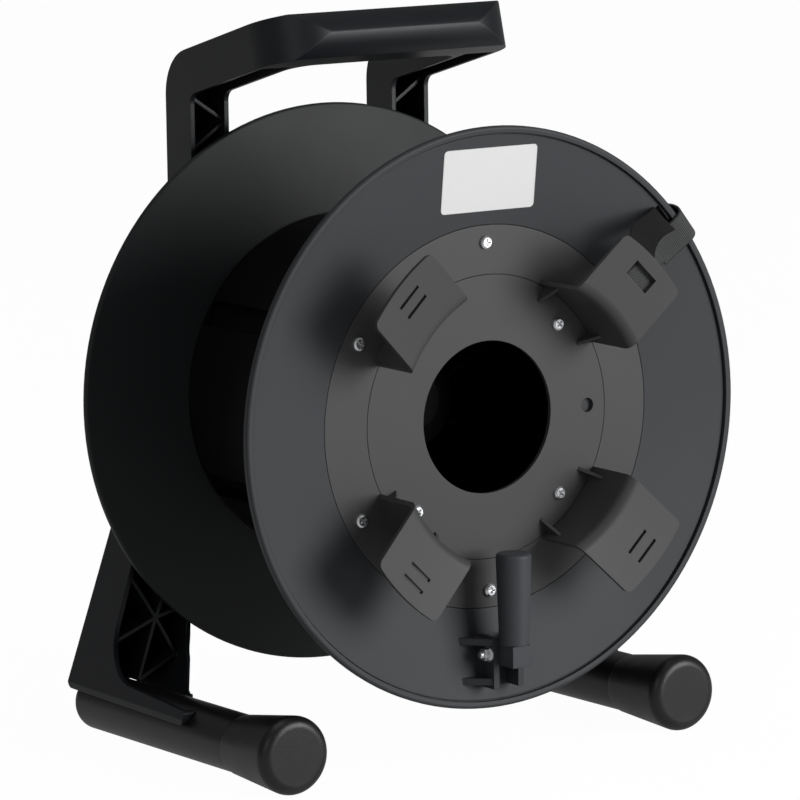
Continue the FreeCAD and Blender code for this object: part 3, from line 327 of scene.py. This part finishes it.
def zinc_plated(name):
    """Bright plating with duller patches and a satin grain."""
    finish = Finish(name)
    patches = finish.noise(450.0, detail=3.0)
    grain = finish.noise(3500.0, detail=2.0)
    soft = finish.rounded(0.0003)
    finish.set(
        Base_Color=finish.blend(patches, zinc_dull, zinc_bright),
        Metallic=1.0,
        Roughness=0.22 + patches * 0.14 + grain * 0.06,
        Normal=finish.bump(grain, 0.00002, soft),
    )
    return finish


screws = [f"ring_screw_{count}" for count in range(1, 7)]
screws += [f"cover_screw_{count}" for count in range(1, 5)]
hardware = ["pivot_bolt", "pivot_washer", "pivot_nut", "axle_washer", "axle_screw"]
paint(zinc_plated("zinc"), *screws, *hardware)

# %% [markdown]
# The label is coated paper. It is white and blank, with the faint tone of its fibres, a soft sheen,
# and a slightly darker rim where dust has caught on the edge of the adhesive.

# %% Coated paper
paper_grey = (0.90, 0.90, 0.90, 1)
paper_white = (0.94, 0.94, 0.94, 1)
rim_grey = (0.55, 0.55, 0.55, 1)
rim_start = 0.972


def coated_paper(name, piece):
    """Blank paper with a dusty rim, which starts at a share of the way out from its middle."""
    finish = Finish(name)
    low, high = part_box(piece)
    middle = (low + high) / 2
    half = (high - low) / 2
    across = finish.node("ShaderNodeSeparateXYZ", "X", Vector=finish.place)
    upwards = finish.node("ShaderNodeSeparateXYZ", "Z", Vector=finish.place)
    side = across.maths("ABSOLUTE", across - middle.x) / half.x
    end = upwards.maths("ABSOLUTE", upwards - middle.z) / half.z
    rim = finish.ramp(side.maths("MAXIMUM", side, end), rim_start, 1.0)
    fibres = finish.noise(700.0, detail=4.0, roughness=0.7)
    cloud = finish.noise(30.0)
    white = finish.blend(cloud * 0.6 + fibres * 0.2, paper_grey, paper_white)
    finish.set(
        Base_Color=finish.blend(rim * 0.5, white, rim_grey),
        Roughness=0.38 + fibres * 0.12,
        Normal=finish.bump(fibres, 0.00002),
    )
    return finish


paint(coated_paper("label_paper", "label_panel"), "label_panel")

# %% [markdown]
# ## The strap
# A hook-and-loop strap ties the cable's end down. Its main run comes from behind the hook at the
# upper right, arches outwards, dives through the slot in the flange, turns round the rim and lies back
# as a flap. A second, shorter run goes from the same hook to the place under that flap. A strap is too
# soft for a plain solid, so these two runs replace the CAD ribbon.
#
# A grid is laid out with one row for each station, and each row is put at its place: a radius and an
# angle round the axle, and a place along it. Its UV map is written in metres first, so the weave keeps
# its scale round every bend. Subdivision makes the bends round. Solidify gives the thickness, and its
# second wall takes the next material slot, so that wall can carry a darker copy of the tape as painted
# shade.

# %% Lay a ribbon along stations
strap_width = 0.0208
strap_thickness = 0.0016
columns = 4
bend_levels = 3
edge_roll = strap_thickness * 0.35
tape_sides = 2
crease = math.radians(40)


def select_only(piece):
    """Leaves one piece selected and active."""
    bpy.ops.object.select_all(action="DESELECT")
    piece.select_set(True)
    bpy.context.view_layer.objects.active = piece


def place_of(radius, angle, along):
    """A point from its radius, its angle round the axle in degrees, and its place along the axle."""
    turn = math.radians(angle)
    return Vector((radius * math.cos(turn), along, axle_height + radius * math.sin(turn)))


def ribbon(name, stations):
    """A woven ribbon through (radius, angle, place along Y, lean) stations. Lean tips a row, in
    degrees, so that the ribbon can twist as it goes."""
    bpy.ops.object.select_all(action="DESELECT")
    runs = len(stations) - 1
    bpy.ops.mesh.primitive_grid_add(x_subdivisions=columns, y_subdivisions=runs, size=1)
    piece = bpy.context.object
    piece.name = name
    centres = [place_of(*station[:3]) for station in stations]
    lengths = [0.0]
    for earlier, later in zip(centres, centres[1:]):
        lengths.append(lengths[-1] + (later - earlier).length)
    for _ in range(tape_sides):
        piece.data.materials.append(None)
    weave = piece.data.uv_layers.active.data
    for loop in piece.data.loops:
        flat = piece.data.vertices[loop.vertex_index].co
        row = round((flat.y + 0.5) * runs)
        weave[loop.index].uv = (flat.x * strap_width, lengths[row])
    for vertex in piece.data.vertices:
        share = vertex.co.x
        row = round((vertex.co.y + 0.5) * runs)
        turn = math.radians(stations[row][1])
        lean = math.radians(stations[row][3])
        side = Vector((-math.sin(turn), 0, math.cos(turn))) * math.cos(lean)
        side += Vector((0, 1, 0)) * math.sin(lean)
        vertex.co = centres[row] + side * (share * strap_width)
    select_only(piece)
    smooth = piece.modifiers.new("round_bends", "SUBSURF")
    smooth.levels = smooth.render_levels = bend_levels
    smooth.boundary_smooth = "PRESERVE_CORNERS"
    wall = piece.modifiers.new("thickness", "SOLIDIFY")
    wall.thickness = strap_thickness
    wall.offset = 0
    wall.material_offset = 1
    rolled = piece.modifiers.new("rolled_edges", "BEVEL")
    rolled.width = edge_roll
    rolled.segments = 2
    rolled.limit_method = "ANGLE"
    for modifier in [smooth, wall, rolled]:
        bpy.ops.object.modifier_apply(modifier=modifier.name)
    bpy.ops.object.mode_set(mode="EDIT")
    bpy.ops.mesh.select_all(action="SELECT")
    bpy.ops.mesh.normals_make_consistent(inside=False)
    bpy.ops.object.mode_set(mode="OBJECT")
    bpy.ops.object.shade_smooth_by_angle(angle=crease)
    print(f"{name}: {lengths[-1] * 1000:.0f} mm long, {len(piece.data.polygons)} faces")
    return piece


# %% [markdown]
# Each hook ends in a lip that slopes back towards the axle, and both runs start behind it. Those
# stations get their place along Y from the lip, so that the tape follows its slope and keeps a gap.

# %% Lay the two runs
lip_thickness = 0.003
lip_radius = 0.1405
lip_slope = math.tan(math.radians(8))


def under_lip(radius, gap):
    """The place just behind the sloping lip at a radius."""
    return lip_front + lip_thickness + (lip_radius - radius) * lip_slope + gap


strap = ribbon("strap_woven", [
    (0.108, 43.9, under_lip(0.108, 0.0050), 0),
    (0.118, 43.9, under_lip(0.118, 0.0040), 0),
    (0.129, 44.2, under_lip(0.129, 0.0034), 0),
    (0.137, 45.8, under_lip(0.137, 0.0034), 6),
    (0.144, 47.6, -0.1370, 20),
    (0.151, 48.2, -0.1342, 32),
    (0.158, 47.4, -0.1310, 40),
    (0.165, 45.8, -0.1272, 42),
    (0.172, 43.9, -0.1222, 34),
    (0.1785, 42.3, -0.1150, 18),
    (0.1818, 41.2, -0.1050, 0),
    (0.1850, 40.2, -0.0995, 0),
    (0.1905, 39.2, -0.1010, 0),
    (0.1938, 38.3, -0.1050, 0),
    (0.1942, 37.4, -0.1100, 0),
    (0.1905, 36.9, -0.1128, 0),
    (0.1840, 36.8, -0.1120, 0),
    (0.1770, 36.7, -0.1108, 0),
    (0.1700, 36.7, -0.1100, 0),
    (0.1625, 36.7, -0.1100, 0),
])
strap_tail = ribbon("strap_tail", [
    (0.110, 44.3, under_lip(0.110, 0.0012), 0),
    (0.121, 44.2, under_lip(0.121, 0.0012), 0),
    (0.131, 43.4, under_lip(0.131, 0.0012), 0),
    (0.140, 42.0, -0.1400, 0),
    (0.148, 40.6, -0.1290, 0),
    (0.155, 38.9, -0.1150, 0),
    (0.164, 37.1, -0.1082, 0),
    (0.174, 36.8, -0.1085, 0),
    (0.182, 36.8, -0.1090, 0),
])

# %% [markdown]
# The tape is woven from fine dark yarn. Its warp and weft cross every 1.3 mm: two sine waves along the
# UV map give the crossings, and noise bends them and adds the fuzz. Rubbed fibres catch the light, so
# crossings that stand high are greyer, and the selvedges are darker. The tape is one colour; a darker
# copy of it on the second wall is painted shade for the arch. The short run shows the lighter one on
# both its faces.

# %% Woven tape
weave_pitch = 0.0013
# The first grey is the tape's own colour. The second is a darker copy of it, painted shade for the
# arch that lies in shadow.
tape_grey = (0.060, 0.061, 0.062)
painted_shade_black = (0.010, 0.010, 0.0105)


def woven_tape(name, colour):
    """Woven yarn on the ribbon's own UV map."""
    finish = Finish(name)
    turns = 2 * math.pi / weave_pitch
    uv = finish.node("ShaderNodeTexCoord", "UV")
    across = finish.node("ShaderNodeSeparateXYZ", "X", Vector=uv)
    along = finish.node("ShaderNodeSeparateXYZ", "Y", Vector=uv)
    fuzz = finish.noise(1800.0, detail=4.0, roughness=0.7)
    drift = finish.noise(220.0, detail=2.0)
    weft = (along * turns + fuzz * 1.6).wave()
    warp = (across * turns + fuzz * 1.2 + drift * 2.0).wave()
    height = (weft * 0.5 + warp * 0.5) * (0.7 + fuzz * 0.3)
    from_middle = across.maths("ABSOLUTE", across)
    selvedge = finish.ramp(from_middle, strap_width * 0.44, strap_width * 0.47)
    lit = (height * 1.25 - selvedge * 0.35).clamped()
    shade = finish.blend(lit, tint(colour, 0.12), tint(colour, 2.1))
    finish.set(
        Base_Color=finish.blend(finish.ramp(drift, 0.35, 0.75) * 0.2, shade, tint(colour, 1.3)),
        Roughness=0.86 - height * 0.10,
        Normal=finish.bump(height + fuzz * 0.5, 0.00022),
        Specular_IOR_Level=0.25,
    )
    return finish


tape_face = woven_tape("strap_tape_face", tape_grey)
painted_shade_face = woven_tape("strap_painted_shade_face", painted_shade_black)
# The main strap's second wall gets the darker copy, as painted shade on its shaded arch.
for piece, sides in ((strap, (tape_face, painted_shade_face)), (strap_tail, (tape_face, tape_face))):
    for slot, side in enumerate(sides):
        piece.data.materials[slot] = side.material
    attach(piece, "drum")
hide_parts("strap")
print("strap and its tail are woven")

# %% [markdown]
# ## The studio
# A broad floor and an even white world make a clean background. The floor is part diffuse, to keep the
# reel's shadow, and part plain white. The white part is seen by the camera, and more weakly in
# reflections, but it throws no diffuse light on the object.

# %% Floor
floor_size = 60
floor_drop = 0.0005
floor_glow = 1.06
white_share = 0.92
reflected_share = 0.3


def camera_only(finish):
    """1 for what the camera sees, less in reflections, and 0 for light that falls on the object."""
    path = finish.node("ShaderNodeLightPath", "Is Camera Ray")
    glossy = Wire(finish.tree, path.socket.node.outputs["Is Glossy Ray"])
    through = Wire(finish.tree, path.socket.node.outputs["Is Transmission Ray"])
    return (path + through + glossy * reflected_share).clamped()


bpy.ops.object.select_all(action="DESELECT")
bpy.ops.mesh.primitive_plane_add(size=floor_size, location=(0, 0, -floor_drop))
floor = bpy.context.object
floor.name = "studio_floor"
floor_finish = Finish("floor_white")
floor_finish.set(Base_Color=(0.55, 0.55, 0.55, 1), Roughness=0.9, Specular_IOR_Level=0.1)
glow = floor_finish.node(
    "ShaderNodeEmission", "Emission", Color=(1, 1, 1, 1), Strength=floor_glow,
)
mixed = floor_finish.tree.nodes.new("ShaderNodeMixShader")
floor_finish.feed(mixed.inputs[0], camera_only(floor_finish) * white_share)
floor_finish.tree.links.new(floor_finish.shader.outputs[0], mixed.inputs[1])
floor_finish.feed(mixed.inputs[2], glow)
output = next(node for node in floor_finish.tree.nodes if node.type == "OUTPUT_MATERIAL")
floor_finish.tree.links.new(mixed.outputs[0], output.inputs["Surface"])
floor.data.materials.append(floor_finish.material)
print(f"white floor, {floor_size} m square")

# %% [markdown]
# The world is plain white too where the camera sees it, and through anything clear. For all other
# rays it is a weak, even light that lifts the shadows a little.

# %% World
world_light = 0.15
world = bpy.data.worlds.new("studio_world")
bpy.context.scene.world = world
world.use_nodes = True
sky = world.node_tree
path = sky.nodes.new("ShaderNodeLightPath")
seen = Wire(sky, path.outputs["Is Camera Ray"]) + Wire(sky, path.outputs["Is Transmission Ray"])
strength = seen.clamped() * (1 - world_light) + world_light
background = sky.nodes["Background"]
background.inputs["Color"].default_value = (1, 1, 1, 1)
sky.links.new(strength.socket, background.inputs["Strength"])
print(f"world light {world_light}")

# %% [markdown]
# Three large soft boxes give the long, gentle highlights on dark plastic. The key stands at the front
# right and does most of the work. The other two only keep the left side and the tops from going black.

# %% Soft boxes
def soft_box(name, place, aim, wide, tall, watts):
    """A large rectangular lamp at a place, turned to face a point."""
    lamp = bpy.data.lights.new(name, "AREA")
    lamp.shape = "RECTANGLE"
    lamp.size = wide
    lamp.size_y = tall
    lamp.energy = watts
    holder = bpy.data.objects.new(name, lamp)
    bpy.context.scene.collection.objects.link(holder)
    holder.location = place
    holder.rotation_mode = "QUATERNION"
    holder.rotation_quaternion = (Vector(aim) - Vector(place)).to_track_quat("-Z", "Y")
    print(f"{name}: {watts} W")


soft_box("key", (1.5, -2.6, 0.9), axle, 1.7, 1.7, 66)
soft_box("left", (-2.3, -1.6, 1.3), axle, 1.0, 1.4, 5)
soft_box("top", (-0.3, -0.2, 2.5), axle, 1.4, 1.4, 7)

# %% [markdown]
# ## The camera
# A long lens from the front left, a little above the axle, keeps both flanges nearly round.

# %% Camera
azimuth = math.radians(-33.36)
elevation = math.radians(9.06)
roll = math.radians(0.83)
distance = 3.3105
lens = 224.3
aim = axle + Vector((-0.0019, 0, -0.0011))
forward = Vector((
    -math.sin(azimuth) * math.cos(elevation),
    math.cos(azimuth) * math.cos(elevation),
    -math.sin(elevation),
))
level = forward.cross(Vector((0, 0, 1))).normalized()
upright = level.cross(forward)
right = level * math.cos(roll) - upright * math.sin(roll)
above = level * math.sin(roll) + upright * math.cos(roll)

camera_data = bpy.data.cameras.new("studio_camera")
camera_data.sensor_width = 36
camera_data.lens = lens
camera = bpy.data.objects.new("studio_camera", camera_data)
bpy.context.scene.collection.objects.link(camera)
turned = Matrix((right, above, -forward)).transposed().to_4x4()
turned.translation = aim - forward * distance
camera.matrix_world = turned
bpy.context.scene.camera = camera
bpy.context.scene.view_settings.view_transform = "Standard"
print(f"camera {distance:.2f} m from the reel, {lens} mm lens")
